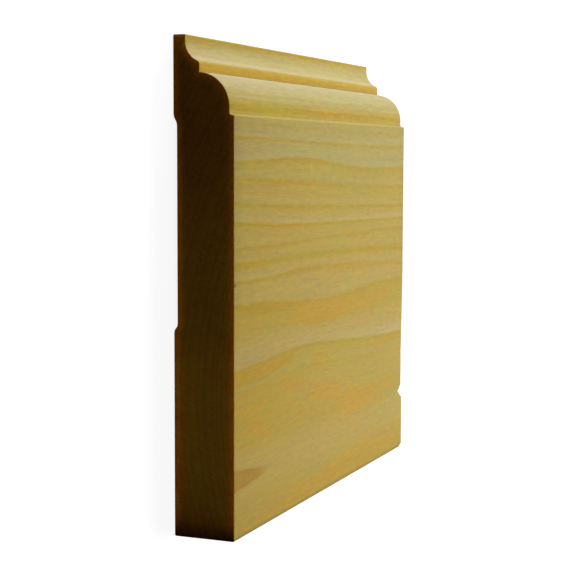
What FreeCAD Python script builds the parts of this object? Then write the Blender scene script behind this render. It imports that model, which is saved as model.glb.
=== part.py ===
import FreeCAD, Part
import math
import os

# A short length of moulded softwood skirting board, lying on its back with the moulded face up.
# X runs along the board, Y from its bottom edge to its top edge, and Z from its back to its face.
# The origin is under the middle of the board, on the plane that the back lies on. Sizes are in mm.

# Stock, milled to the standard 11/16 in by 5 1/4 in
board_length = 143.0
board_height = 133.35
board_thickness = 17.46

# Moulding along the top, from the top edge down
top_land = 3.5
top_lip = 1.65
cove_radius = 5.7
bead_radius = 1.0
upper_fillet = 2.05
ovolo_radius = 9.15
ovolo_depth = 8.6
lower_fillet = 2.0
step_depth = 1.3

# Rounding of the long edges
bottom_arris = 0.4
step_arris = 0.4
step_hollow = 0.6
lip_arris = 0.3
back_arris = 0.4

# Relief planed out of the back between two lands, with an ogee shoulder at each side
relief_depth = 1.0
lower_land = 55.0
upper_land = 20.5
lower_shoulder = 2.4
upper_shoulder = 3.3

# Nick in the face's edge at the far end
nick_height = 20.2
nick_length = 4.8
nick_half_width = 2.7
nick_depth = 3.0

# Long shallow bruise in the same edge, which the nick lies in
bruise_height = 30.0
bruise_length = 1.1
bruise_above = 30.0
bruise_below = 14.0
bruise_depth = 2.5

# Corner knocked off at the foot of the far end
corner_length = 3.2
corner_height = 1.1
corner_depth = 1.8

# How much larger a chip's cutter is than the chip, so that its outer faces clear the board
cutter_overshoot = 1.5
# Two points of the outline nearer than this are one point
touching = 1e-6

near_end = -board_length / 2
far_end = board_length / 2


def at(x, height, depth):
    """The point at x, that high above the bottom edge and that deep behind the flat face."""
    return FreeCAD.Vector(x, height - board_height / 2, board_thickness - depth)


def rounded_outline(corners):
    """A closed wire through corners, each a point and the radius of the arc that rounds it."""
    rounds = []
    for i, (corner, radius) in enumerate(corners):
        before = (corners[i - 1][0] - corner).normalize()
        after = (corners[(i + 1) % len(corners)][0] - corner).normalize()
        half_angle = before.getAngle(after) / 2
        reach = radius / math.tan(half_angle)
        bulge = radius / math.sin(half_angle) - radius
        middle = corner + (before + after).normalize() * bulge
        rounds.append((corner + before * reach, middle, corner + after * reach, radius))
    edges = []
    for i, (start, middle, end, radius) in enumerate(rounds):
        if radius > 0:
            edges.append(Part.Arc(start, middle, end).toShape())
        next_start = rounds[(i + 1) % len(rounds)][0]
        if (next_start - end).Length > touching:
            edges.append(Part.LineSegment(end, next_start).toShape())
    return Part.Wire(edges)


def top_moulding():
    """The section's corners from the step above the flat face up to the lip at the top edge."""
    fillet_depth = step_depth + ovolo_depth
    lip_depth = board_thickness - top_land

    # The bead and the cove are circles that touch, each with its centre on its own side
    bead_centre = fillet_depth + bead_radius
    cove_centre = lip_depth - cove_radius
    centres_apart = bead_radius + cove_radius
    across = bead_centre - cove_centre
    down = math.sqrt(centres_apart ** 2 - across ** 2)
    bead_height = board_height - top_lip - down
    touch_depth = bead_centre - across * bead_radius / centres_apart
    touch_height = bead_height + down * bead_radius / centres_apart

    def shared_tangent(depth):
        return touch_height + (depth - touch_depth) * across / down

    # The ovolo is a little less than a quarter round, so it still rises where the fillet cuts it off
    lean = math.asin(1 - ovolo_depth / ovolo_radius)
    ovolo_top = bead_height - upper_fillet
    ovolo_centre = ovolo_top - ovolo_radius * math.cos(lean)
    ovolo_corner = ovolo_centre + ovolo_depth / math.cos(lean)
    shelf = ovolo_centre - lower_fillet
    return [
        (at(near_end, shelf, 0), step_arris),
        (at(near_end, shelf, step_depth), step_hollow),
        (at(near_end, ovolo_corner, step_depth), ovolo_radius),
        (at(near_end, ovolo_top, fillet_depth), 0),
        (at(near_end, shared_tangent(fillet_depth), fillet_depth), bead_radius),
        (at(near_end, shared_tangent(lip_depth), lip_depth), cove_radius),
        (at(near_end, board_height, lip_depth), lip_arris),
    ]


def shoulder(land_edge, run):
    """The corners of an ogee of two equal arcs, from the edge of a land into the relief.

    The run is how far the ogee goes along the back, upwards where it is positive.
    """
    radius = (run ** 2 + relief_depth ** 2) / (4 * relief_depth)
    lead = (run ** 2 + relief_depth ** 2) / (4 * run)
    land_corner = at(near_end, land_edge + lead, board_thickness)
    relief_corner = at(near_end, land_edge + run - lead, board_thickness - relief_depth)
    return [(land_corner, radius), (relief_corner, radius)]


def section():
    """The board's section, as a face at the near end."""
    upper = shoulder(board_height - upper_land, -upper_shoulder)
    lower = shoulder(lower_land, lower_shoulder)
    corners = [
        (at(near_end, 0, 0), bottom_arris),
        *top_moulding(),
        (at(near_end, board_height, board_thickness), back_arris),
        *upper,
        *reversed(lower),
        (at(near_end, 0, board_thickness), back_arris),
    ]
    return Part.Face(rounded_outline(corners))


def cutter(points, pivot):
    """A solid with four corners, enlarged about a point that its cutting planes share."""
    a, b, c, d = [pivot + (point - pivot) * cutter_overshoot for point in points]
    triangles = [(a, b, c), (a, b, d), (a, c, d), (b, c, d)]
    faces = [Part.Face(Part.makePolygon([*corners, corners[0]])) for corners in triangles]
    return Part.makeSolid(Part.makeShell(faces))


def edge_chip(height, length, above, below, depth):
    """A V-shaped chip out of the face's edge at the far end, deepest at that height."""
    tip = at(far_end - length, height, 0)
    heel = at(far_end, height, depth)
    top = at(far_end, height + above, 0)
    bottom = at(far_end, height - below, 0)
    return cutter([tip, heel, top, bottom], (tip + heel) / 2)


def broken_corner():
    """The corner knocked off where the face, the bottom edge and the far end meet."""
    along = at(far_end - corner_length, 0, 0)
    up = at(far_end, corner_height, 0)
    back = at(far_end, 0, corner_depth)
    return cutter([at(far_end, 0, 0), along, up, back], (along + up + back) / 3)


def skirting_board():
    """The whole board: one piece of wood."""
    board = section().extrude(FreeCAD.Vector(board_length, 0, 0))
    nick = edge_chip(nick_height, nick_length, nick_half_width, nick_half_width, nick_depth)
    bruise = edge_chip(bruise_height, bruise_length, bruise_above, bruise_below, bruise_depth)
    for chip in (nick, bruise, broken_corner()):
        board = board.cut(chip)
    return board.Solids[0]


os.makedirs("parts", exist_ok=True)
skirting_board().exportStep("parts/skirting_board.step")
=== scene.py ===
import math

import bmesh
import bpy
from mathutils import Matrix, Vector, kdtree


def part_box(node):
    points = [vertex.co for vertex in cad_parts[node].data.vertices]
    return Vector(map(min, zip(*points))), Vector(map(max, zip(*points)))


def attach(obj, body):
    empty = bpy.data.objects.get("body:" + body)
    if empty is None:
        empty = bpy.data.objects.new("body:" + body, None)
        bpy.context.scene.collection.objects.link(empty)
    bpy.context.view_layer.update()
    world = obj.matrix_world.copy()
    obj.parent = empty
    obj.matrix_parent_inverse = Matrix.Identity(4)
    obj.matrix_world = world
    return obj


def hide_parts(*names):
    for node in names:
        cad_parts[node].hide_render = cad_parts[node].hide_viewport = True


# A short length of moulded softwood skirting board, lying on its back on a white floor.
# Sizes named here are in mm. Places on the board are given as (along, height, depth): along it
# from its near end, above its bottom edge, and behind its flat face.

MM = 0.001

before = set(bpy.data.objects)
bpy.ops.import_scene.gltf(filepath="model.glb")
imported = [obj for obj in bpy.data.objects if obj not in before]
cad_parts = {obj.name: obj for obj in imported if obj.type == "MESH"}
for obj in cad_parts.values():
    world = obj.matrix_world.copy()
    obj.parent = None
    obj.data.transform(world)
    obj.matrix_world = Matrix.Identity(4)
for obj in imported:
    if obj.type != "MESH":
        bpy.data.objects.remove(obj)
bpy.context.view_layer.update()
low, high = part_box("skirting_board")
LENGTH, HEIGHT, THICKNESS = (high - low) / MM

# The section's sizes, as the part has them
TOP_LAND = 3.5
TOP_LIP = 1.65
COVE_RADIUS = 5.7
BEAD_RADIUS = 1.0
UPPER_FILLET = 2.05
OVOLO_RADIUS = 9.15
OVOLO_DEPTH = 8.6
LOWER_FILLET = 2.0
STEP_DEPTH = 1.3
STEP_HOLLOW = 0.6
STEP_ARRIS = 0.4
BOTTOM_ARRIS = 0.4
LIP_ARRIS = 0.3
BACK_ARRIS = 0.4
RELIEF_DEPTH = 1.0
LOWER_LAND = 55.0
UPPER_LAND = 20.5
LOWER_SHOULDER = 2.4
UPPER_SHOULDER = 3.3

# The damage at the far end
NICK_HEIGHT = 20.2
NICK_LENGTH = 4.8
NICK_HALF_WIDTH = 2.7
NICK_DEPTH = 3.0
CORNER_LENGTH = 3.2
CORNER_HEIGHT = 1.1
CORNER_DEPTH = 1.8
# How far in from the end the bruised edge is pressed, by height
BRUISE_SHAPE = ((15.5, 0), (19, 0.6), (22.5, 1.3), (27, 1.2), (32, 1.2), (34.5, 1.4), (36.5, 1.1), (60, 0))
BRUISE_DEPTH = 2.5
BRUISE_REACH = 6.0
# How much larger a chip's cutter is than the chip, how finely it is divided, and how rough it is
CUTTER_OVERSHOOT = 1.5
CUTTER_DIVISIONS = 7
NICK_ROUGHNESS = 0.16
CORNER_ROUGHNESS = 0.12

# How finely the mesh is divided
ARC_STEP = 0.45
GRID = 0.95
GRID_SNAP = 0.04
SUPPORT = 0.3
ALONG_STEP = 2.0
ALONG_STEP_AT_ENDS = 0.75
FINE_ZONE = 6.0
# Points that are nearer than this are one
TOUCHING = 0.01
# The narrow worn edge round a sawn end
SAWN_ARRIS = 0.12
# How far in from its outline an end has a painted glow, and how far apart the points are that this is
# measured from
RIM_WIDTH = 2.2
OUTLINE_STEP = 0.2
# Faces that meet at a smaller angle than this, in degrees, are shaded as one surface
SMOOTH_ANGLE = 35


# Shape

def spot(along, height, depth):
    """A place on the board, in metres in the frame."""
    return Vector((low.x + along * MM, low.y + height * MM, high.z - depth * MM))


class Pen:
    """Draws a chain of edges in edit mode, from a first point on."""

    def __init__(self, name, along, height, depth):
        bpy.ops.object.select_all(action="DESELECT")
        bpy.ops.mesh.primitive_plane_add(size=MM, location=spot(along, height, depth))
        bpy.context.object.name = name
        bpy.ops.object.mode_set(mode="EDIT")
        bpy.ops.mesh.select_mode(type="VERT")
        bpy.ops.mesh.merge(type="CENTER")
        self.along = along
        self.height = height
        self.depth = depth

    def jump(self, along, height, depth):
        """Draws one edge to a place."""
        step = spot(along, height, depth) - spot(self.along, self.height, self.depth)
        bpy.ops.mesh.extrude_region_move(TRANSFORM_OT_translate={"value": step})
        self.along = along
        self.height = height
        self.depth = depth

    def line(self, height, depth):
        """A straight run, with a support close to each end if it is long, to keep it flat."""
        up = height - self.height
        back = depth - self.depth
        run = math.hypot(up, back)
        start_height, start_depth = self.height, self.depth
        supports = [SUPPORT / run, 1 - SUPPORT / run] if run > 4 * SUPPORT else []
        for share in [*supports, 1]:
            self.jump(self.along, start_height + up * share, start_depth + back * share)

    def arc(self, height, depth, turn):
        """Goes round a centre by that many degrees, towards the wood where turn is positive."""
        up = self.height - height
        back = self.depth - depth
        angle = math.radians(turn)
        steps = max(3, round(math.hypot(up, back) * abs(angle) / ARC_STEP))
        centre = spot(self.along, height, depth)
        bpy.ops.mesh.spin(steps=steps, angle=angle, center=centre, axis=(1, 0, 0))
        self.height = height + up * math.cos(angle) - back * math.sin(angle)
        self.depth = depth + up * math.sin(angle) + back * math.cos(angle)

    def fill(self):
        """Closes what has been drawn and fills it with one face."""
        bpy.ops.mesh.select_all(action="SELECT")
        bpy.ops.mesh.remove_doubles(threshold=TOUCHING * MM)
        bpy.ops.mesh.edge_face_add()


def draw_moulding(pen):
    """From the flat face over the step, the ovolo, the bead and the cove to the top edge."""
    fillet_depth = STEP_DEPTH + OVOLO_DEPTH
    lip_depth = THICKNESS - TOP_LAND
    bead_depth = fillet_depth + BEAD_RADIUS
    cove_depth = lip_depth - COVE_RADIUS
    cove_height = HEIGHT - TOP_LIP
    apart = BEAD_RADIUS + COVE_RADIUS
    across = bead_depth - cove_depth
    bead_height = cove_height - math.sqrt(apart ** 2 - across ** 2)
    turn = math.degrees(math.acos(across / apart))
    lean = math.asin(1 - OVOLO_DEPTH / OVOLO_RADIUS)
    ovolo_height = bead_height - UPPER_FILLET - OVOLO_RADIUS * math.cos(lean)
    shelf = ovolo_height - LOWER_FILLET

    pen.line(shelf - STEP_ARRIS, 0)
    pen.arc(shelf - STEP_ARRIS, STEP_ARRIS, 90)
    pen.line(shelf, STEP_DEPTH - STEP_HOLLOW)
    pen.arc(shelf + STEP_HOLLOW, STEP_DEPTH - STEP_HOLLOW, -90)
    pen.line(ovolo_height, STEP_DEPTH)
    pen.arc(ovolo_height, STEP_DEPTH + OVOLO_RADIUS, 90 - math.degrees(lean))
    pen.line(bead_height, fillet_depth)
    pen.arc(bead_height, bead_depth, turn)
    pen.arc(cove_height, cove_depth, -turn)
    pen.line(HEIGHT - LIP_ARRIS, lip_depth)
    pen.arc(HEIGHT - LIP_ARRIS, lip_depth + LIP_ARRIS, 90)


def shoulder_arc(run):
    """The radius, and the turn in degrees, of the two equal arcs of a shoulder of the relief."""
    radius = (run ** 2 + RELIEF_DEPTH ** 2) / (4 * RELIEF_DEPTH)
    return radius, 2 * math.degrees(math.atan2(RELIEF_DEPTH, run))


def draw_relief(pen):
    """Down the back, from the upper land over its ogee into the relief and out to the lower land."""
    relief = THICKNESS - RELIEF_DEPTH
    top = HEIGHT - UPPER_LAND
    radius, turn = shoulder_arc(UPPER_SHOULDER)
    pen.line(top, THICKNESS)
    pen.arc(top, THICKNESS - radius, turn)
    pen.arc(top - UPPER_SHOULDER, relief + radius, -turn)

    radius, turn = shoulder_arc(LOWER_SHOULDER)
    pen.line(LOWER_LAND + LOWER_SHOULDER, relief)
    pen.arc(LOWER_LAND + LOWER_SHOULDER, relief + radius, -turn)
    pen.arc(LOWER_LAND, THICKNESS - radius, turn)


def outline_points():
    """Finds the nearest of many points along the outline that has just been drawn."""
    places = []
    for edge in bmesh.from_edit_mesh(bpy.context.object.data).edges:
        start, end = [vertex.co for vertex in edge.verts]
        count = math.ceil((end - start).length / (OUTLINE_STEP * MM))
        places.extend(start.lerp(end, i / count) for i in range(count))
    points = kdtree.KDTree(len(places))
    for i, place in enumerate(places):
        points.insert(place, i)
    points.balance()
    return points


def draw_section():
    """Draws the section's outline at the near end, fills it with one face, and returns its points."""
    pen = Pen("moulded_board", 0, 0, THICKNESS - BACK_ARRIS)
    pen.line(0, BOTTOM_ARRIS)
    pen.arc(BOTTOM_ARRIS, BOTTOM_ARRIS, 90)
    draw_moulding(pen)
    pen.line(HEIGHT, THICKNESS - BACK_ARRIS)
    pen.arc(HEIGHT - BACK_ARRIS, THICKNESS - BACK_ARRIS, 90)
    draw_relief(pen)
    pen.line(BACK_ARRIS, THICKNESS)
    pen.arc(BACK_ARRIS, THICKNESS - BACK_ARRIS, 90)
    pen.fill()
    # The drawing object stands at its first point, and its mesh is measured from there
    bpy.ops.object.mode_set(mode="OBJECT")
    bpy.ops.object.transform_apply(location=True, rotation=True, scale=True)
    bpy.ops.object.mode_set(mode="EDIT")
    points = outline_points()
    bpy.ops.mesh.select_all(action="SELECT")
    return points


def stations():
    """How far along the board each cross-section stands: closer together at the ends."""
    fine = round(FINE_ZONE / ALONG_STEP_AT_ENDS)
    coarse = round((LENGTH - 2 * FINE_ZONE) / ALONG_STEP)
    near = [FINE_ZONE * i / fine for i in range(1, fine + 1)]
    middle = [FINE_ZONE + (LENGTH - 2 * FINE_ZONE) * i / coarse for i in range(1, coarse + 1)]
    far = [LENGTH - FINE_ZONE + FINE_ZONE * i / fine for i in range(1, fine + 1)]
    return near + middle + far


def select_only(piece):
    bpy.ops.object.select_all(action="DESELECT")
    piece.select_set(True)
    bpy.context.view_layer.objects.active = piece


def pick_edges(wanted):
    """Selects the edges that are wanted, and no others."""
    bpy.ops.mesh.select_mode(type="EDGE")
    bpy.ops.mesh.select_all(action="DESELECT")
    mesh = bmesh.from_edit_mesh(bpy.context.object.data)
    for edge in mesh.edges:
        if wanted(edge):
            edge.select_set(True)
    mesh.select_flush_mode()
    bmesh.update_edit_mesh(bpy.context.object.data)


def is_end(face):
    """Whether a face looks along the board."""
    return abs(face.normal.x) > 0.9


def is_sawn_edge(edge):
    """Whether an edge lies between an end and one of the long faces."""
    return len(edge.link_faces) == 2 and is_end(edge.link_faces[0]) != is_end(edge.link_faces[1])


def divide_all(axis, size):
    """Cuts the whole board into even strips across one axis."""
    count = round(size / GRID)
    normal = Vector((0, axis == "Y", axis == "Z"))
    for i in range(1, count):
        cut = low + normal * (size * MM * i / count)
        bpy.ops.mesh.select_all(action="SELECT")
        bpy.ops.mesh.bisect(plane_co=cut, plane_no=normal, threshold=GRID_SNAP * MM)


def board_blank():
    """The milled and sawn board, before any damage, and its outline's points."""
    outline = draw_section()
    reached = 0
    for place in stations():
        step = Vector(((place - reached) * MM, 0, 0))
        bpy.ops.mesh.extrude_region_move(TRANSFORM_OT_translate={"value": step})
        reached = place
    bpy.ops.mesh.select_all(action="SELECT")
    bpy.ops.mesh.normals_make_consistent(inside=False)
    pick_edges(is_sawn_edge)
    bpy.ops.mesh.bevel(offset=SAWN_ARRIS * MM, segments=2, affect="EDGES")
    bpy.ops.mesh.select_mode(type="VERT")
    divide_all("Y", HEIGHT)
    divide_all("Z", THICKNESS)
    bpy.ops.object.mode_set(mode="OBJECT")
    return bpy.context.object, outline


def wedge(name, points, roughness, seed):
    """A rough-faced solid with four corners, drawn as a triangle that is drawn out to a point."""
    first, second, third, tip = [Vector(point) for point in points]
    pen = Pen(name, *first)
    pen.jump(*second)
    pen.jump(*third)
    pen.fill()
    middle = (first + second + third) / 3
    step = spot(*tip) - spot(*middle)
    bpy.ops.mesh.extrude_region_move(TRANSFORM_OT_translate={"value": step})
    bpy.ops.mesh.merge(type="CENTER")
    bpy.ops.mesh.select_all(action="SELECT")
    bpy.ops.mesh.normals_make_consistent(inside=False)
    bpy.ops.mesh.subdivide(number_cuts=CUTTER_DIVISIONS, seed=seed)
    bpy.ops.transform.vertex_random(offset=roughness * MM, uniform=1, normal=0, seed=seed)
    bpy.ops.object.mode_set(mode="OBJECT")
    return bpy.context.object


def enlarged(points, pivot):
    """A cutter's corners, moved away from a point that its cutting planes share."""
    return [pivot + (Vector(point) - pivot) * CUTTER_OVERSHOOT for point in points]


def nick_cutter():
    tip = Vector((LENGTH - NICK_LENGTH, NICK_HEIGHT, 0))
    heel = Vector((LENGTH, NICK_HEIGHT, NICK_DEPTH))
    above = Vector((LENGTH, NICK_HEIGHT + NICK_HALF_WIDTH, 0))
    below = Vector((LENGTH, NICK_HEIGHT - NICK_HALF_WIDTH, 0))
    points = enlarged([above, tip, below, heel], (tip + heel) / 2)
    return wedge("nick_cutter", points, NICK_ROUGHNESS, seed=3)


def corner_cutter():
    along = Vector((LENGTH - CORNER_LENGTH, 0, 0))
    up = Vector((LENGTH, CORNER_HEIGHT, 0))
    back = Vector((LENGTH, 0, CORNER_DEPTH))
    corner = Vector((LENGTH, 0, 0))
    points = enlarged([along, up, back, corner], (along + up + back) / 3)
    return wedge("corner_cutter", points, CORNER_ROUGHNESS, seed=5)


def cut_away(board, cutter):
    """Takes the cutter's shape out of the board. The torn faces keep the cutter's material."""
    select_only(board)
    bpy.ops.object.modifier_add(type="BOOLEAN")
    cut = board.modifiers[-1]
    cut.operation = "DIFFERENCE"
    cut.solver = "EXACT"
    cut.object = cutter
    cut.material_mode = "TRANSFER"
    bpy.ops.object.modifier_apply(modifier=cut.name)
    bpy.data.objects.remove(cutter)


def bruise_length(height):
    """How far in the bruised edge is pressed at a height."""
    for (below, start), (above, end) in zip(BRUISE_SHAPE, BRUISE_SHAPE[1:]):
        if below <= height < above:
            return start + (end - start) * (height - below) / (above - below)
    return 0


def bruise(board):
    """Presses the face's edge at the far end back, over a long shallow stretch."""
    deepest = max(length for height, length in BRUISE_SHAPE)
    group = board.vertex_groups.new(name="bruise")
    for vertex in board.data.vertices:
        height = (vertex.co.y - low.y) / MM
        in_depth = 1 - (high.z - vertex.co.z) / MM / BRUISE_DEPTH
        in_length = 1 - (high.x - vertex.co.x) / MM / BRUISE_REACH
        length = bruise_length(height)
        if min(in_depth, in_length, length) > 0:
            group.add([vertex.index], in_depth * in_length * length / deepest, "REPLACE")
    select_only(board)
    bpy.ops.object.modifier_add(type="DISPLACE")
    press = board.modifiers[-1]
    press.direction = "X"
    press.mid_level = 0
    press.strength = -deepest * MM
    press.vertex_group = group.name
    bpy.ops.object.modifier_apply(modifier=press.name)
    board.vertex_groups.clear()


def mark_rims(board, outline):
    """Writes into an attribute how near each vertex is to the section's outline, for the ends."""
    rim_glow = board.data.attributes.new("Rim", "FLOAT", "POINT")
    for vertex in board.data.vertices:
        distance = outline.find((low.x, vertex.co.y, vertex.co.z))[2]
        rim_glow.data[vertex.index].value = max(0, 1 - distance / (RIM_WIDTH * MM))


# Materials

# The names of a place's parts, and of the values in a patch's row
PLACE = ["Along", "Height", "Depth"]
PATCH_ROW = ["Patch Along", "Patch Height", "Half Length", "Half Height", "Slope", "Strength"]


class Recipe:
    """Fills in a node tree: a material's, the world's or a group's."""

    def __init__(self, tree):
        self.tree = tree

    def feed(self, socket, value):
        """Links a socket to another node's output, or gives it a plain value."""
        if isinstance(value, bpy.types.NodeSocket):
            self.tree.links.new(value, socket)
        else:
            socket.default_value = value

    def node(self, kind, inputs, **settings):
        node = self.tree.nodes.new(kind)
        for name, setting in settings.items():
            setattr(node, name, setting)
        for name, value in inputs.items():
            self.feed(node.inputs[name], value)
        return node

    def group(self, tree, inputs):
        """What a node group puts out."""
        return self.node("ShaderNodeGroup", inputs, node_tree=tree).outputs

    def math(self, operation, *values, clamp=False):
        inputs = dict(enumerate(values))
        return self.node("ShaderNodeMath", inputs, operation=operation, use_clamp=clamp).outputs[0]

    def add(self, first, second):
        return self.math("ADD", first, second)

    def subtract(self, first, second):
        return self.math("SUBTRACT", first, second)

    def multiply(self, first, second, clamp=False):
        return self.math("MULTIPLY", first, second, clamp=clamp)

    def divide(self, first, second, clamp=False):
        return self.math("DIVIDE", first, second, clamp=clamp)

    def multiply_add(self, value, factor, more, clamp=False):
        return self.math("MULTIPLY_ADD", value, factor, more, clamp=clamp)

    def maximum(self, first, second, clamp=False):
        return self.math("MAXIMUM", first, second, clamp=clamp)

    def between(self, share, first, second):
        """The first value where the share is 0, the second where it is 1, and a mix where it is between."""
        return self.multiply_add(self.subtract(second, first), share, first)

    def distance(self, across, up):
        """How far away something is that is this far across and this far up."""
        return self.math("SQRT", self.add(self.multiply(across, across), self.multiply(up, up)))

    def fade(self, value, start, end, from_=0.0, to=1.0):
        """From one level to another, smoothly, as the value goes from start to end."""
        inputs = {"Value": value, "From Min": start, "From Max": end, "To Min": from_, "To Max": to}
        return self.node("ShaderNodeMapRange", inputs, interpolation_type="SMOOTHSTEP").outputs[0]

    def band(self, value, start, full, fading, end):
        """1 where the value is between full and fading, down to 0 at the start and the end."""
        return self.multiply(self.fade(value, start, full), self.fade(value, fading, end, 1.0, 0.0))

    def curve(self, value, points, handles):
        """A curve through points whose places and levels lie between 0 and 1."""
        node = self.node("ShaderNodeFloatCurve", {"Value": value})
        line = node.mapping.curves[0]
        line.points[0].location = points[0]
        line.points[1].location = points[-1]
        for place, level in points[1:-1]:
            line.points.new(place, level)
        for point in line.points:
            point.handle_type = handles
        node.mapping.update()
        return node.outputs[0]

    def profile(self, value, rows, top, least=0.0, most=1.0):
        """A smooth curve through rows of place, from 0 to the top, and level, from least to most."""
        points = [(place / top, (level - least) / (most - least)) for place, level in rows]
        share = self.curve(self.divide(value, top), points, "AUTO")
        return self.multiply_add(share, most - least, least)

    def vector(self, x, y, z):
        return self.node("ShaderNodeCombineXYZ", {"X": x, "Y": y, "Z": z}).outputs[0]

    def noise(self, place, detail=2.0, roughness=0.5):
        """Noise between about -1 and 1, one bump to a unit of the place."""
        inputs = {"Vector": place, "Scale": 1.0, "Detail": detail, "Roughness": roughness}
        return self.multiply_add(self.node("ShaderNodeTexNoise", inputs).outputs[0], 2.0, -1.0)

    def noise_in(self, place, sizes, detail=2.0, roughness=0.5):
        """The same, with bumps of these sizes along the board, up it and into it."""
        parts = [self.divide(place[name], size) for name, size in zip(PLACE, sizes)]
        return self.noise(self.vector(*parts), detail, roughness)

    def blend(self, factor, first, second):
        """A mix of two colours."""
        return self.node("ShaderNodeMix", {0: factor, 6: first, 7: second}, data_type="RGBA").outputs[2]


def new_group(name, inputs, outputs):
    """A node group's recipe, what it is given, and the sockets for what it puts out."""
    tree = bpy.data.node_groups.new(name, "ShaderNodeTree")
    for socket in inputs:
        tree.interface.new_socket(name=socket, in_out="INPUT", socket_type="NodeSocketFloat")
    for socket in outputs:
        tree.interface.new_socket(name=socket, in_out="OUTPUT", socket_type="NodeSocketFloat")
    taken = tree.nodes.new("NodeGroupInput")
    given = tree.nodes.new("NodeGroupOutput")
    return Recipe(tree), taken.outputs, given.inputs


# Growth rings that meet the flat face, from the lowest line up: how dark the wood is at the
# ring's start, through its middle and at its end, how closely the dark end keeps to the line,
# and the line's height at each place along the board. Pale wood is 0 dark and late wood 1. Above
# that it takes the colour of a line, below 0 it is paler, and below -1 it also gets a painted highlight.
LINE_PLACES = (0, 25, 50, 75, 100, 125, 143)
GRAIN_LINES = (
    (0.7, 0.8, 1.0, 1.5, (44.7, 45.7, 46.6, 45.0, 43.0, 41.5, 40.6)),
    (0.3, 0.85, 1.1, 3.0, (62.3, 61.5, 59.3, 58.6, 59.7, 60.4, 60.1)),
    (0.48, 0.5, 0.88, 5.0, (68.7, 68.6, 69.4, 68.8, 67.7, 66.5, 65.4)),
    (0.3, 0.5, 1.2, 2.5, (73.4, 73.2, 73.3, 72.9, 72.2, 71.4, 70.6)),
    (0.55, 0.65, 0.8, 3.0, (77.3, 77.4, 77.6, 77.8, 78.0, 78.0, 77.8)),
    (0.65, 0.7, 1.0, 4.0, (84.4, 82.9, 82.1, 81.7, 81.4, 81.1, 80.9)),
    (0.05, 0.4, 0.95, 1.8, (89.5, 88.2, 87.4, 86.8, 86.2, 85.7, 85.5)),
    (0.42, 0.72, 0.85, 4.0, (95.9, 95.1, 94.4, 93.4, 92.4, 91.7, 91.5)),
    (0.3, 0.6, 0.85, 3.0, (99.7, 100.8, 101.2, 99.7, 98.2, 98.0, 98.0)),
    (0.03, 0.2, 0.65, 5.0, (106.7, 106.5, 106.0, 105.6, 105.3, 105.3, 105.3)),
)
# Heights at which the grain runs level, below and above those lines
LEVEL_BELOW = (-10.0, 14.0)
LEVEL_ABOVE = (113.0, 150.0)
# How far a line's curve can rise and fall in all
LINE_RANGE = 10.0

# The tree's middle runs along the board, in front of its face
PITH_HEIGHT = 38.0
PITH_DISTANCE = 115.0
# The rings outside those: darkness as above, closeness, and radius
OUTER_RINGS = (
    (0.0, 0.2, 0.35, 2.5, 135.8),
    (0.35, 0.4, 0.45, 3.0, 138.3),
    (0.85, 1.15, 1.05, 3.0, 139.5),
    (0.5, 0.5, 0.3, 2.0, 140.5),
    (0.15, -0.1, 0.1, 3.0, 142.0),
    (-0.3, -0.55, -0.45, 3.0, 147.1),
    (-0.45, -0.6, -0.85, 2.0, 149.2),
    (-1.25, -1.8, -2.0, 2.0, 151.0),
    (1.15, 1.35, 0.55, 2.4, 153.0),
    (0.4, -0.85, -0.65, 2.0, 157.0),
    (-0.5, -0.45, -0.15, 2.0, 158.6),
    (0.1, 0.35, 1.2, 2.4, 160.4),
    (0.1, 0.4, 0.8, 3.0, 163.0),
    (0.0, 0.3, 0.6, 3.0, 166.0),
)
RADIUS_RANGE = (115.0, 172.0)
# What the curves that hold these values run from and to
CLOSENESS_RANGE = 10.0
DARKNESS_RANGE = (-2.0, 1.6)
WIDTH_RANGE = 45.0
# How far a line spreads below and above itself, and how far its ring's darkness runs on above it
LINE_UNDER = 1.3
LINE_OVER = 0.5
LEFT_OVER = 1.2


def board_place():
    """Along, height and depth on the board in mm."""
    recipe, _, given = new_group("board place", [], PLACE)
    place = recipe.node("ShaderNodeTexCoord", {}).outputs["Object"]
    middle = (LENGTH / 2, HEIGHT / 2, THICKNESS)
    inputs = {"Vector": place, "Location": middle, "Scale": (1 / MM, 1 / MM, -1 / MM)}
    in_mm = recipe.node("ShaderNodeMapping", inputs).outputs[0]
    parts = recipe.node("ShaderNodeSeparateXYZ", {"Vector": in_mm})
    for i in range(3):
        recipe.feed(given[i], parts.outputs[i])
    return recipe.tree


def between_lines():
    """How far up the gap between two grain lines a place is, scaled to the gap at the near end."""
    recipe, taken, given = new_group("between lines", ["Height", "Lower", "Upper", "Near Gap"], ["Rise"])
    up = recipe.subtract(taken["Height"], taken["Lower"])
    share = recipe.divide(up, recipe.subtract(taken["Upper"], taken["Lower"]), clamp=True)
    recipe.feed(given[0], recipe.multiply(share, taken["Near Gap"]))
    return recipe.tree


def grain_flow():
    """The height at which a place would lie if every grain line ran level from the near end."""
    recipe, taken, given = new_group("grain flow", ["Along", "Height"], ["Height"])
    near_heights = list(LEVEL_BELOW)
    heights_here = list(LEVEL_BELOW)
    for *_, line in GRAIN_LINES:
        least = line[0] - LINE_RANGE / 2
        rows = list(zip(LINE_PLACES, line))
        near_heights.append(line[0])
        heights_here.append(recipe.profile(taken["Along"], rows, LENGTH, least, least + LINE_RANGE))
    near_heights.extend(LEVEL_ABOVE)
    heights_here.extend(LEVEL_ABOVE)
    flow = near_heights[0]
    gap_group = between_lines()
    for i in range(1, len(near_heights)):
        inputs = {"Height": taken["Height"], "Lower": heights_here[i - 1], "Upper": heights_here[i],
                  "Near Gap": near_heights[i] - near_heights[i - 1]}
        flow = recipe.add(recipe.group(gap_group, inputs)[0], flow)
    recipe.feed(given[0], flow)
    return recipe.tree


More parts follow.
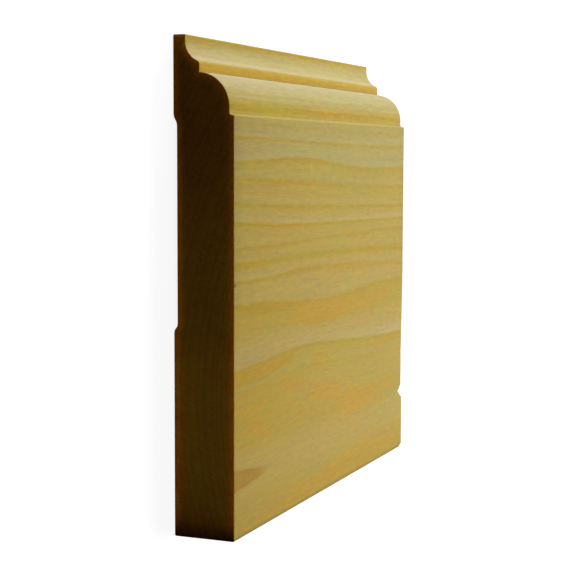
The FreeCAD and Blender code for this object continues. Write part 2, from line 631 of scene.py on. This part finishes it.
def widths_on_face(radii, at_end):
    """How many mm of the face each ring would take, at the slant that it has at its end or its start."""
    widths = []
    for start, end in zip((PITH_DISTANCE, *radii), radii):
        here = end if at_end else start
        rise = math.sqrt(max(here ** 2 - PITH_DISTANCE ** 2, 0))
        widths.append(min((end - start) * here / max(rise, 1), WIDTH_RANGE))
    return widths


def growth_rings():
    """How dark the growth rings make a place, and how near it is to one of their lines.

    It also puts out the place's age in its ring, from 0 to 1, and how far it is from the tree's middle.
    """
    recipe, taken, given = new_group("growth rings", PLACE, ["Dark", "Line", "Age", "Radius"])
    wobble = recipe.noise_in(taken, (12.0, 2.5, 2.5), detail=4.0, roughness=0.7)
    height = recipe.multiply_add(wobble, 0.4, taken["Height"])
    up = recipe.subtract(height, PITH_HEIGHT)
    radius = recipe.distance(up, recipe.add(taken["Depth"], PITH_DISTANCE))

    rings = [(start, middle, end, closeness, math.hypot(line[0] - PITH_HEIGHT, PITH_DISTANCE))
             for start, middle, end, closeness, line in GRAIN_LINES]
    rings.extend(OUTER_RINGS)
    starts, middles, ends, closenesses, radii = zip(*rings)
    spaces = len(rings) + 1
    first, last = RADIUS_RANGE
    bounds = (first, *radii, last)
    points = [((bound - first) / (last - first), i / spaces) for i, bound in enumerate(bounds)]
    share = recipe.divide(recipe.subtract(radius, first), last - first)
    number = recipe.multiply(recipe.curve(share, points, "VECTOR"), float(spaces))
    ring_share = recipe.divide(recipe.add(recipe.math("FLOOR", number), 0.5), float(spaces))
    age = recipe.math("FRACT", number)

    def by_ring(values, least, most):
        """One of the rings' values, which the curve holds as a share of its range."""
        points = [((i + 0.5) / spaces, (value - least) / (most - least)) for i, value in enumerate(values)]
        return recipe.multiply_add(recipe.curve(ring_share, points, "VECTOR"), most - least, least)

    start = by_ring(starts, *DARKNESS_RANGE)
    middle = by_ring(middles, *DARKNESS_RANGE)
    end = by_ring(ends, *DARKNESS_RANGE)
    end_before = by_ring((ends[0], *ends[:-1]), *DARKNESS_RANGE)
    closeness = by_ring(closenesses, 0.0, CLOSENESS_RANGE)
    dark = recipe.between(recipe.fade(age, 0.1, 0.5), start, middle)
    late = recipe.multiply(recipe.math("POWER", age, closeness), recipe.subtract(end, middle))

    # How many mm the lines of this ring and of the ring before are away, up and down the face
    width_at_end = by_ring(widths_on_face(radii, at_end=True), 0.0, WIDTH_RANGE)
    width_at_start = by_ring(widths_on_face(radii, at_end=False), 0.0, WIDTH_RANGE)
    to_line = recipe.multiply(recipe.subtract(1.0, age), width_at_end)
    from_line = recipe.multiply(age, width_at_start)
    left = recipe.multiply(recipe.fade(from_line, 0.0, LEFT_OVER, 1.0, 0.0),
                           recipe.subtract(end_before, start))
    recipe.feed(given["Dark"], recipe.add(recipe.add(dark, late), left))
    under = recipe.multiply(recipe.fade(to_line, 0.0, LINE_UNDER, 1.0, 0.0), end)
    over = recipe.multiply(recipe.fade(from_line, 0.0, LINE_OVER, 1.0, 0.0), end_before)
    recipe.feed(given["Line"], recipe.maximum(under, over, clamp=True))
    recipe.feed(given["Age"], age)
    recipe.feed(given["Radius"], radius)
    return recipe.tree


def fibres():
    """Fine streaks along the grain, mottle, short resin canals, and slow changes of hue."""
    recipe, place, given = new_group("fibres", PLACE, ["Streak", "Mottle", "Canal", "Hue"])
    fine = recipe.noise_in(place, (6.5, 0.38, 0.38), detail=3.0, roughness=0.65)
    broad = recipe.noise_in(place, (38.0, 1.5, 1.5))
    slow = recipe.noise_in(place, (60.0, 6.0, 6.0))
    recipe.feed(given["Streak"], recipe.multiply_add(broad, 0.6, fine))
    recipe.feed(given["Mottle"], recipe.noise_in(place, (4.5, 1.0, 1.0), detail=3.0, roughness=0.6))
    canal = recipe.noise_in(place, (5.0, 0.22, 0.22), detail=1.0)
    recipe.feed(given["Canal"], recipe.fade(canal, 0.6, 0.8))
    recipe.feed(given["Hue"], recipe.multiply_add(recipe.noise_in(place, (8.0, 2.4, 2.4)), 0.7, slow))
    return recipe.tree


def soft_patch():
    """Adds one soft, ragged, oval patch to the mask of those before it."""
    inputs = ["Along", "Height", "Ragged", *PATCH_ROW, "Before"]
    recipe, taken, given = new_group("soft patch", inputs, ["Mask"])
    along = recipe.subtract(taken["Along"], taken["Patch Along"])
    level = recipe.multiply_add(along, taken["Slope"], taken["Patch Height"])
    up = recipe.divide(recipe.subtract(taken["Height"], level), taken["Half Height"])
    along = recipe.divide(along, taken["Half Length"])
    reach = recipe.multiply_add(taken["Ragged"], 0.6, recipe.distance(along, up))
    patch = recipe.multiply(recipe.fade(reach, 0.65, 1.05, 1.0, 0.0), taken["Strength"])
    recipe.feed(given[0], recipe.maximum(patch, taken["Before"]))
    return recipe.tree


# The middle of the flame's tip at the near end, half its height there, and how both change along it
FLAME_HEIGHT = 16.0
FLAME_HALF_HEIGHT = 2.4
FLAME_SLOPE = -0.02
FLAME_TAPER = -0.1


def flame_tip():
    """The tip of a knot's flame on the flat face at the near end: a wedge, darkest along its outline."""
    recipe, taken, given = new_group("flame tip", ["Along", "Height", "Ragged"], ["Flame"])
    middle = recipe.multiply_add(taken["Along"], FLAME_SLOPE, FLAME_HEIGHT)
    half = recipe.multiply_add(taken["Along"], FLAME_TAPER, FLAME_HALF_HEIGHT)
    off = recipe.math("ABSOLUTE", recipe.subtract(taken["Height"], middle))
    out = recipe.multiply_add(taken["Ragged"], 0.5, recipe.subtract(off, half))
    inside = recipe.multiply(recipe.fade(out, 0.8, -0.5), 0.85)
    outline = recipe.fade(recipe.math("ABSOLUTE", out), 0.1, 1.2, 0.95, 0.0)
    flame = recipe.maximum(inside, outline)
    recipe.feed(given[0], recipe.multiply(flame, recipe.fade(taken["Along"], 12.0, 27.0, 1.0, 0.0)))
    return recipe.tree


# Resin-rich patches on the flat face: middle along and up, half length, half height, slope, strength
RESIN_PATCHES = (
    (66, 55.6, 34, 3.6, -0.02, 0.9),
    (108, 55.5, 24, 3.2, 0.02, 0.75),
    (12, 43.6, 26, 1.5, 0.04, 0.4),
    (118, 40.6, 30, 1.0, -0.03, 0.55),
    (65, 40.5, 10, 3.0, -0.05, 0.5),
    (41, 37.0, 12, 2.2, -0.06, 0.6),
    (10, 33.5, 13, 2.0, -0.04, 0.7),
    (17, 27.5, 10, 3.4, -0.2, 0.6),
    (48, 27.5, 10, 2.6, -0.05, 0.35),
    (68, 30.5, 16, 3.2, -0.08, 0.7),
    (96, 24.5, 22, 5.0, -0.06, 0.7),
    (124, 25.2, 14, 1.8, -0.06, 0.4),
    (118, 21.0, 10, 2.0, -0.06, 0.4),
    (45, 3.0, 44, 3.6, 0.02, 0.6),
    (100, 5.0, 44, 4.5, 0.0, 0.6),
    (99, 67.2, 12, 1.0, -0.04, 0.3),
    (128, 66.0, 8, 1.0, -0.05, 0.25),
    (88, 78.4, 10, 1.4, -0.05, 0.4),
    (20, 84.0, 14, 0.7, -0.1, 0.4),
)
# Darker patches, in the same way
DARK_PATCHES = (
    (14, 42.9, 32, 2.4, 0.045, 1.0),
    (26, 60.2, 32, 1.9, -0.055, 0.8),
    (62, 53.8, 26, 2.2, -0.01, 0.6),
    (100, 56.0, 24, 2.8, 0.0, 0.4),
    (128, 39.9, 20, 1.1, -0.02, 0.5),
    (8, 72.6, 18, 0.9, 0.0, 0.6),
)
# Paler patches, in the same way
PALE_PATCHES = (
    (98, 45.2, 22, 1.6, -0.06, 0.3),
    (128, 43.6, 22, 2.0, -0.03, 0.9),
    (60, 47.8, 26, 1.2, -0.02, 0.35),
    (130, 106.9, 30, 1.2, 0.0, 0.4),
    (128, 82.4, 16, 0.8, -0.02, 0.5),
)
# Specks of pitch, in the same way
PITCH_SPECKS = (
    (0.7, 68.0, 0.8, 0.56, 0.0, 1.0),
    (28.0, 92.5, 0.35, 0.245, 0.0, 1.0),
    (57.0, 94.8, 0.3, 0.21, 0.0, 1.0),
)

# How dark the face is below its lowest grain line, by height, at the near end and at the far end
LOW_WOOD_NEAR = ((0, 0.78), (5, 0.8), (10, 0.68), (14, 0.55), (20, 0.55), (25, 0.85), (30, 0.93),
                 (44, 0.93))
LOW_WOOD_FAR = ((0, 1.05), (4, 1.0), (7, 0.88), (10, 0.72), (16, 0.56), (20, 0.68), (25, 0.88),
                (30, 0.74), (44, 0.78))
LOW_WOOD_TOP = 44.0
LOW_WOOD_MOST = 1.2
# How light the upper and the lower part of the face are along the board: painted shade, a little
# darker towards both ends
UPPER_PAINTED_SHADE = ((0, 0.83), (3, 0.87), (9, 0.94), (22, 0.97), (39, 0.985), (58, 1.0), (90, 1.0), (102, 0.985),
              (126, 0.965), (136, 0.95), (140, 0.92), (143, 0.9))
LOWER_PAINTED_SHADE = ((0, 0.94), (9, 0.94), (22, 0.965), (39, 0.985), (90, 0.99), (102, 0.975), (126, 0.955),
              (143, 0.96))
PAINTED_SHADE_RANGE = (0.8, 1.05)


def softwood_figure():
    """All that the grain puts into the wood, as masks, with each place's along, height and depth."""
    outputs = ["Dark", "Line", "Pale", "Bleach Highlight", "Warm", "Resin", "Flame", "Pitch", "Face Shade", "Streak",
               "Mottle", "Canal", "Hue", "Age", *PLACE]
    recipe, _, given = new_group("softwood figure", [], outputs)
    place = recipe.group(board_place(), {})
    along, height, depth = place["Along"], place["Height"], place["Depth"]
    flow = recipe.group(grain_flow(), {"Along": along, "Height": height})[0]
    straight = {"Along": along, "Height": flow, "Depth": depth}
    rings = recipe.group(growth_rings(), straight)
    fibre = recipe.group(fibres(), straight)
    on_face = recipe.fade(depth, 0.5, 2.0, 1.0, 0.0)

    # Below its lowest line, the face has only broad changes
    low_near = recipe.profile(height, LOW_WOOD_NEAR, LOW_WOOD_TOP, most=LOW_WOOD_MOST)
    low_far = recipe.profile(height, LOW_WOOD_FAR, LOW_WOOD_TOP, most=LOW_WOOD_MOST)
    low_wood = recipe.between(recipe.fade(along, 5.0, 90.0), low_near, low_far)
    at_foot = recipe.multiply(recipe.fade(flow, 36.5, 40.5, 1.0, 0.0), on_face)
    dark = recipe.between(at_foot, rings["Dark"], low_wood)

    ragged = recipe.noise_in(straight, (7.0, 0.9, 2.0), detail=4.0, roughness=0.65)
    patch_group = soft_patch()

    def patches(rows, raggedness):
        """A mask of all the patches in the rows, on the flat face alone."""
        mask = 0.0
        for row in rows:
            inputs = {"Along": along, "Height": height, "Ragged": raggedness, "Before": mask}
            inputs.update(zip(PATCH_ROW, map(float, row)))
            mask = recipe.group(patch_group, inputs)[0]
        return recipe.multiply(mask, on_face)

    resin = patches(RESIN_PATCHES, ragged)
    dark_patch = patches(DARK_PATCHES, ragged)
    pale_patch = patches(PALE_PATCHES, ragged)
    pitch = patches(PITCH_SPECKS, recipe.multiply(ragged, 0.6))
    flame = recipe.group(flame_tip(), {"Along": along, "Height": height, "Ragged": ragged})[0]
    dark = recipe.subtract(dark, recipe.multiply(pale_patch, 0.5))
    dark = recipe.multiply_add(dark_patch, 0.5, dark)

    # Painted shade: the face is darker towards its ends and its foot, and darkest along the bottom edge
    upper_face_shade = recipe.profile(along, UPPER_PAINTED_SHADE, LENGTH, *PAINTED_SHADE_RANGE)
    lower_face_shade = recipe.profile(along, LOWER_PAINTED_SHADE, LENGTH, *PAINTED_SHADE_RANGE)
    face_shade = recipe.between(recipe.fade(height, 56.0, 66.0), lower_face_shade, upper_face_shade)
    face_shade = recipe.multiply(face_shade, recipe.fade(height, 0.2, 1.6, 0.7, 1.0))
    face_shade = recipe.multiply(face_shade, recipe.fade(height, 3.0, 14.0, 0.96, 1.0))
    face_shade = recipe.between(on_face, 1.0, face_shade)

    # Lines stop at the lowest one, are broken by the hue, and are strongest near the near end
    line = recipe.multiply(rings["Line"], recipe.fade(flow, 40.0, 42.0))
    line = recipe.multiply(line, recipe.multiply_add(fibre["Hue"], 0.7, 0.8))
    line = recipe.multiply(line, recipe.fade(along, 0.0, 60.0, 1.25, 0.95), clamp=True)

    # The palest wood is less pale towards the far end
    pale = recipe.multiply(dark, -1.0, clamp=True)
    pale = recipe.multiply(pale, recipe.fade(along, 0.0, LENGTH, 1.0, 0.3))
    # The palest ring, on the ovolo's top, is partly paler wood and partly a painted highlight, fainter
    # towards the far end
    bleach_highlight = recipe.multiply(recipe.fade(dark, -1.0, -1.8), recipe.fade(along, 85.0, 125.0, 1.0, 0.55))

    # Warm, reddish wood comes and goes, mostly at the foot's near end, in dark patches and on the
    # fillet, and hardly in the cove
    warm = recipe.multiply_add(fibre["Hue"], 0.9, 0.3)
    warm = recipe.multiply_add(fibre["Mottle"], 0.35, warm)
    warm = recipe.multiply_add(at_foot, recipe.fade(along, 80.0, 130.0, 0.35, 0.0), warm)
    warm = recipe.multiply_add(dark_patch, 0.5, warm)
    in_fillet = recipe.band(rings["Radius"], 149.0, 151.5, 153.5, 156.0)
    warm = recipe.multiply_add(in_fillet, recipe.fade(along, 0.0, 110.0, 0.6, 1.0), warm)
    in_cove = recipe.band(rings["Radius"], 156.5, 158.0, 159.6, 160.2)
    warm = recipe.multiply_add(in_cove, -0.4, warm, clamp=True)

    made = {"Dark": dark, "Line": line, "Pale": pale, "Bleach Highlight": bleach_highlight, "Warm": warm, "Resin": resin,
            "Flame": recipe.multiply(flame, on_face), "Pitch": pitch, "Face Shade": face_shade, "Age": rings["Age"]}
    for masks in (made, fibre, place):
        for name, value in masks.items():
            recipe.feed(given[name], value)
    return recipe.tree


# Colours of the planed wood
PALE_WOOD = (0.545, 0.405, 0.12, 1)
MIDDLE_PALE_WOOD = (0.543, 0.389, 0.112, 1)
UPPER_PALE_WOOD = (0.485, 0.397, 0.122, 1)
NEAR_PALE_WOOD = (0.485, 0.367, 0.112, 1)
PALEST_WOOD = (0.52, 0.437, 0.215, 1)
LATE_WOOD = (0.475, 0.345, 0.02, 1)
AMBER_WOOD = (0.555, 0.345, 0.019, 1)
LINE_WOOD = (0.455, 0.305, 0.004, 1)
AMBER_LINE_WOOD = (0.53, 0.295, 0.004, 1)
RESIN_WOOD = (0.58, 0.33, 0.009, 1)
UPPER_RESIN_WOOD = (0.555, 0.32, 0.008, 1)
FLAME_WOOD = (0.46, 0.24, 0.003, 1)
CANAL_WOOD = (0.4, 0.26, 0.05, 1)
PITCH = (0.34, 0.15, 0.01, 1)
# Colours of the sawn end grain, a shaded and a lit one, and the painted shade by height at the near end
SHADED_END_WOOD = (0.14, 0.046, 0.005, 1)
LIT_END_WOOD = (0.39, 0.187, 0.013, 1)
FAR_END_WOOD = (0.43, 0.285, 0.085, 1)
RIM_GLOW_WOOD = (0.76, 0.235, 0.004, 1)
END_PAINTED_SHADE = ((0, 0.0), (2, 0.12), (6, 0.5), (12, 0.8), (22, 0.98), (38, 1.0), (55, 0.7), (75, 0.52),
                 (88, 0.4), (98, 0.24), (108, 0.16), (133.35, 0.16))
# Colours of torn wood
TORN_WOOD = (0.5, 0.33, 0.06, 1)
TORN_WOOD_DARK = (0.36, 0.21, 0.03, 1)

# How far a relief of 1 stands up, on planed, sawn and torn wood
PLANED_RELIEF = 0.014
SAWN_RELIEF = 0.03
TORN_RELIEF = 0.12
# The ripple that the cutters leave, in radians to a mm
RIPPLE = 4.2
# How far below the board and behind its face the middle of the saw was
SAW_BELOW = 90.0
SAW_BEHIND = 70.0
# How many scratches it leaves to a mm, and how long they are
SCRATCHES = 2.6
SCRATCH_LENGTH = 30.0
PORE_SIZE = 0.3
# How light the far end is, and how much fainter its painted glow is
FAR_END_LIGHTNESS = 0.8
FAR_RIM_LOSS = 0.75


def new_wood(name, figure_group, specular):
    """A material with its recipe, its shader, and the outputs of the wood's figure."""
    material = bpy.data.materials.new(name)
    material.use_nodes = True
    recipe = Recipe(material.node_tree)
    shader = material.node_tree.nodes["Principled BSDF"]
    shader.inputs["Specular IOR Level"].default_value = specular
    return material, recipe, shader, recipe.group(figure_group, {})


def roughen(recipe, shader, roughness, distance, relief):
    """Joins up a varying roughness, and a relief of which a unit stands up that far."""
    recipe.feed(shader.inputs["Roughness"], roughness)
    bump = recipe.node("ShaderNodeBump", {"Strength": 1.0, "Distance": distance * MM, "Height": relief})
    recipe.feed(shader.inputs["Normal"], bump.outputs[0])


def planed_softwood(figure_group):
    material, recipe, shader, figure = new_wood("planed_softwood", figure_group, specular=0.02)
    shader.inputs["Sheen Weight"].default_value = 0.45
    shader.inputs["Sheen Roughness"].default_value = 0.3
    upper_light = recipe.blend(recipe.fade(figure["Along"], 2.0, 35.0), NEAR_PALE_WOOD, UPPER_PALE_WOOD)
    in_middle = recipe.band(figure["Height"], 44.0, 47.0, 74.0, 79.0)
    light = recipe.blend(in_middle, PALE_WOOD, MIDDLE_PALE_WOOD)
    light = recipe.blend(recipe.fade(figure["Height"], 84.0, 98.0), light, upper_light)
    late = recipe.blend(figure["Warm"], LATE_WOOD, AMBER_WOOD)
    uneven = recipe.multiply_add(figure["Streak"], 0.24, recipe.multiply(figure["Mottle"], 0.13))
    uneven = recipe.multiply(uneven, recipe.fade(figure["Height"], 38.0, 45.0, 1.5, 1.0))
    uneven = recipe.multiply(uneven, recipe.fade(figure["Height"], 62.0, 72.0, 1.0, 0.6))
    dark = recipe.add(figure["Dark"], uneven)
    colour = recipe.blend(dark, light, late)
    line = recipe.blend(figure["Warm"], LINE_WOOD, AMBER_LINE_WOOD)
    darkest = recipe.multiply(recipe.subtract(dark, 1.0), 1.6, clamp=True)
    darkest = recipe.maximum(recipe.multiply(figure["Line"], 0.72), darkest)
    colour = recipe.blend(darkest, colour, line)
    colour = recipe.blend(figure["Pale"], colour, PALEST_WOOD)
    resin = recipe.blend(recipe.fade(figure["Height"], 38.0, 50.0), RESIN_WOOD, UPPER_RESIN_WOOD)
    colour = recipe.blend(figure["Resin"], colour, resin)
    colour = recipe.blend(figure["Flame"], colour, FLAME_WOOD)
    colour = recipe.blend(recipe.multiply(figure["Canal"], 0.35), colour, CANAL_WOOD)
    colour = recipe.blend(figure["Pitch"], colour, PITCH)
    # The face's brightness starts from its painted shade
    value = recipe.multiply_add(figure["Streak"], 0.2, figure["Face Shade"])
    value = recipe.multiply_add(figure["Mottle"], 0.18, value)
    # The painted highlight brightens the palest wood
    value = recipe.multiply_add(figure["Bleach Highlight"], 0.38, value)
    hue = recipe.multiply_add(figure["Hue"], -0.008, 0.5)
    tint = recipe.node("ShaderNodeHueSaturation", {"Hue": hue, "Value": value, "Color": colour})
    recipe.feed(shader.inputs["Base Color"], tint.outputs[0])

    # The cutters leave a faint ripple every 1.5 mm or so, and the late wood stands a little proud
    ripple = recipe.math("SINE", recipe.multiply(figure["Along"], RIPPLE))
    relief = recipe.multiply_add(figure["Streak"], 0.6, figure["Dark"])
    relief = recipe.multiply_add(ripple, 0.12, relief)
    relief = recipe.subtract(relief, figure["Canal"])
    roughness = recipe.multiply_add(figure["Streak"], 0.08, 0.6)
    roughness = recipe.multiply_add(figure["Resin"], -0.06, roughness)
    roughen(recipe, shader, roughness, PLANED_RELIEF, relief)
    return material


def sawn_softwood(figure_group):
    material, recipe, shader, figure = new_wood("sawn_softwood_end", figure_group, specular=0.01)
    # Painted shade on the near end: its shaded and lit colours are mixed by height, dark at the top and
    # darkest at the foot, where a contact shadow is painted
    end_shade = recipe.profile(figure["Height"], END_PAINTED_SHADE, HEIGHT)
    at_far_end = recipe.math("GREATER_THAN", figure["Along"], LENGTH / 2)
    end_shade = recipe.between(at_far_end, end_shade, FAR_END_LIGHTNESS)
    colour = recipe.blend(end_shade, SHADED_END_WOOD, LIT_END_WOOD)
    colour = recipe.blend(at_far_end, colour, FAR_END_WOOD)

    # A painted glow, as of light coming through the wood, along the outline, most of all at the back
    rim_glow = recipe.node("ShaderNodeAttribute", {}, attribute_name="Rim").outputs["Fac"]
    clear_of_foot_shadow = recipe.fade(figure["Height"], 0.0, 5.0)
    rim_glow = recipe.multiply(rim_glow, clear_of_foot_shadow)
    rim_glow = recipe.multiply(rim_glow, recipe.multiply_add(end_shade, 0.7, 0.25))
    rim_glow = recipe.multiply(rim_glow, recipe.fade(figure["Depth"], 9.0, 16.0, 1.0, 1.9), clamp=True)
    rim_glow = recipe.multiply(rim_glow, recipe.multiply_add(at_far_end, -FAR_RIM_LOSS, 1.0))
    colour = recipe.blend(rim_glow, colour, RIM_GLOW_WOOD)

    # Arcs that a circular saw leaves, and the open ends of the fibres
    from_saw = recipe.distance(recipe.add(figure["Height"], SAW_BELOW),
                               recipe.subtract(figure["Depth"], SAW_BEHIND))
    scratch_place = recipe.vector(recipe.multiply(from_saw, SCRATCHES),
                                  recipe.divide(figure["Height"], SCRATCH_LENGTH), 0.0)
    scratch = recipe.noise(scratch_place, detail=3.0, roughness=0.7)
    pore_place = recipe.vector(0.0, recipe.divide(figure["Height"], PORE_SIZE),
                               recipe.divide(figure["Depth"], PORE_SIZE))
    pore = recipe.noise(pore_place)
    late = recipe.math("POWER", figure["Age"], 3.0)
    # The late wood is darker, the foot gets a painted contact shadow, and the end is lighter towards the
    # back as far as its painted shade is light
    value = recipe.multiply_add(late, -0.18, 0.52)
    value = recipe.multiply_add(clear_of_foot_shadow, 0.52, value)
    to_back = recipe.multiply(recipe.fade(figure["Depth"], 7.0, 16.0), end_shade)
    value = recipe.multiply_add(to_back, 0.45, value)
    value = recipe.multiply_add(scratch, 0.2, value)
    value = recipe.multiply_add(pore, 0.24, value)
    value = recipe.multiply_add(figure["Mottle"], 0.14, value)
    hue = recipe.multiply_add(figure["Hue"], 0.02, 0.5)
    tint = recipe.node("ShaderNodeHueSaturation", {"Hue": hue, "Value": value, "Color": colour})
    recipe.feed(shader.inputs["Base Color"], tint.outputs[0])
    relief = recipe.multiply_add(late, 0.4, recipe.multiply_add(pore, 0.7, scratch))
    roughen(recipe, shader, recipe.multiply_add(pore, 0.15, 0.85), SAWN_RELIEF, relief)
    return material


def torn_softwood(figure_group):
    material, recipe, shader, figure = new_wood("torn_softwood", figure_group, specular=0.02)
    tear = recipe.noise_in(figure, (2.5, 0.25, 0.25), detail=3.0, roughness=0.6)
    colour = recipe.blend(recipe.multiply_add(tear, 0.9, 0.5, clamp=True), TORN_WOOD, TORN_WOOD_DARK)
    recipe.feed(shader.inputs["Base Color"], colour)
    roughen(recipe, shader, recipe.multiply_add(tear, 0.1, 0.9), TORN_RELIEF, tear)
    return material


# The board

board, outline = board_blank()
figure_group = softwood_figure()
torn = torn_softwood(figure_group)
board.data.materials.append(planed_softwood(figure_group))
board.data.materials.append(sawn_softwood(figure_group))
for face in board.data.polygons:
    if is_end(face):
        face.material_index = 1
bruise(board)
for make_cutter in (nick_cutter, corner_cutter):
    cutter = make_cutter()
    cutter.data.materials.append(torn)
    cut_away(board, cutter)
mark_rims(board, outline)
bpy.ops.object.shade_smooth_by_angle(angle=math.radians(SMOOTH_ANGLE))

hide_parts("skirting_board")
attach(board, "root")

# Camera

CAMERA_PLACE = Vector((-416.27, 33.95, 174.11)) * MM
CAMERA_AIM = Vector((-34.47, -2.11, 17.46)) * MM
PICTURE_UP = Vector((0.0794, 0.9962, -0.0359))
LENS = 91.2

camera = bpy.data.objects.new("camera", bpy.data.cameras.new("camera"))
bpy.context.scene.collection.objects.link(camera)
back = (CAMERA_PLACE - CAMERA_AIM).normalized()
right = PICTURE_UP.cross(back).normalized()
up = back.cross(right)
turn = Matrix((right, up, back)).transposed()
camera.matrix_world = Matrix.Translation(CAMERA_PLACE) @ turn.to_4x4()
camera.data.lens = LENS
camera.data.clip_start = 0.01
camera.data.clip_end = 20
bpy.context.scene.camera = camera


# Light and floor. Places and sizes are in metres here, and power is in watts.

LIGHT_SIZE = 0.5
WORLD_FILL = 0.05
FLOOR_SIZE = 6
FLOOR_GREY = (0.25, 0.25, 0.25, 1)
FLOOR_GLOW = 0.9


def area_light(name, place, power):
    """A square lamp that faces the middle of the frame."""
    lamp = bpy.data.lights.new(name, "AREA")
    lamp.size = LIGHT_SIZE
    lamp.energy = power
    light = bpy.data.objects.new(name, lamp)
    bpy.context.scene.collection.objects.link(light)
    light.location = place
    light.rotation_euler = (Vector((0, 0, 0)) - Vector(place)).to_track_quat("-Z", "Y").to_euler()


def emptied(owner):
    """The recipe of a world or a material whose own nodes have been taken out."""
    owner.use_nodes = True
    owner.node_tree.nodes.clear()
    return Recipe(owner.node_tree)


def seen_by_eye(recipe):
    """1 for what the camera sees, also in a gloss or through glass, and 0 for what lights the board."""
    rays = recipe.node("ShaderNodeLightPath", {}).outputs
    seen = recipe.maximum(rays["Is Camera Ray"], rays["Is Glossy Ray"])
    return recipe.maximum(seen, rays["Is Transmission Ray"])


area_light("key", (0.52, -0.12, 0.55), power=5.7)
area_light("top", (0.0, 0.75, 0.1), power=7.4)

world = bpy.data.worlds.new("studio")
bpy.context.scene.world = world
recipe = emptied(world)
fill = recipe.node("ShaderNodeBackground", {"Strength": WORLD_FILL}).outputs[0]
backdrop = recipe.node("ShaderNodeBackground", {"Color": (1, 1, 1, 1)}).outputs[0]
both = recipe.node("ShaderNodeMixShader", {0: seen_by_eye(recipe), 1: fill, 2: backdrop}).outputs[0]
recipe.node("ShaderNodeOutputWorld", {"Surface": both})

bpy.ops.object.select_all(action="DESELECT")
bpy.ops.mesh.primitive_plane_add(size=FLOOR_SIZE, location=(0, 0, 0))
floor = bpy.context.object
floor.name = "floor"
white = bpy.data.materials.new("white_floor")
recipe = emptied(white)
paper = recipe.node("ShaderNodeBsdfDiffuse", {"Color": FLOOR_GREY}).outputs[0]
glow_strength = recipe.multiply(seen_by_eye(recipe), FLOOR_GLOW)
glow = recipe.node("ShaderNodeEmission", {"Strength": glow_strength}).outputs[0]
both = recipe.node("ShaderNodeAddShader", {0: paper, 1: glow}).outputs[0]
recipe.node("ShaderNodeOutputMaterial", {"Surface": both})
floor.data.materials.append(white)

bpy.context.scene.view_settings.view_transform = "Standard"
